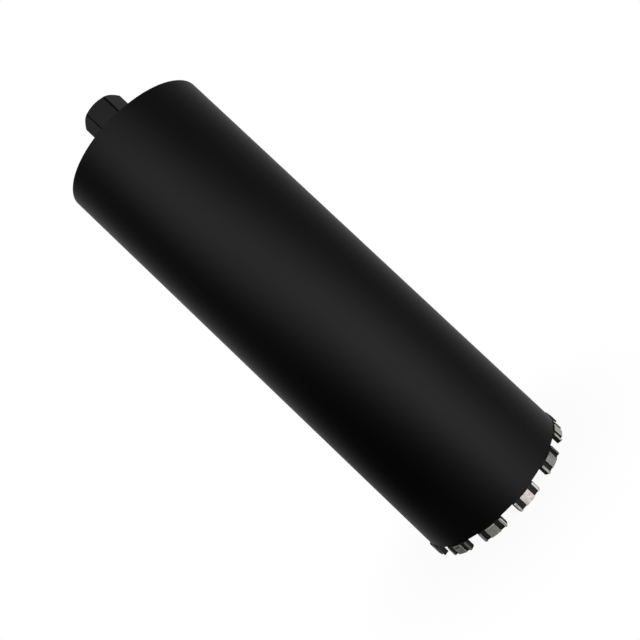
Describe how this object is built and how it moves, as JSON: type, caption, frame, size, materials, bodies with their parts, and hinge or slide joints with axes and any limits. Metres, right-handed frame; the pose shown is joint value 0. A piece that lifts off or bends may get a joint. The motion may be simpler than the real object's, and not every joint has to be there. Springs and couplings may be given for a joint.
{
  "type": "diamond core bit",
  "caption": "Wet diamond core bit for concrete: a thin steel barrel with a segmented diamond crown at its open end and a hexagonal threaded hub on its welded back plate.",
  "frame": {"origin": "centre of the crown's cutting plane, on the barrel's axis", "axes": "+Z along the barrel from the crown to the hub; two of the hub's spanner flats face -Y and +Y"},
  "size_m": [0.1268, 0.127, 0.4031],
  "materials": {
    "barrel_paint": "satin black paint on steel",
    "hub_paint": "satin black paint on a machined steel hub",
    "segment_matrix": "sintered metal matrix with diamond grit, ground bright on its raised faces and painted black elsewhere"
  },
  "bodies": {
    "root": {"barrel_tube": "barrel_paint", "back_plate": "barrel_paint", "plate_weld": "barrel_paint", "threaded_hub": "hub_paint", "hub_weld": "hub_paint", "segment_01": "segment_matrix", "segment_02": "segment_matrix", "segment_03": "segment_matrix", "segment_04": "segment_matrix", "segment_05": "segment_matrix", "segment_06": "segment_matrix", "segment_07": "segment_matrix", "segment_08": "segment_matrix", "segment_09": "segment_matrix", "segment_10": "segment_matrix", "segment_11": "segment_matrix", "segment_12": "segment_matrix", "segment_13": "segment_matrix"}
  },
  "joints": []
}
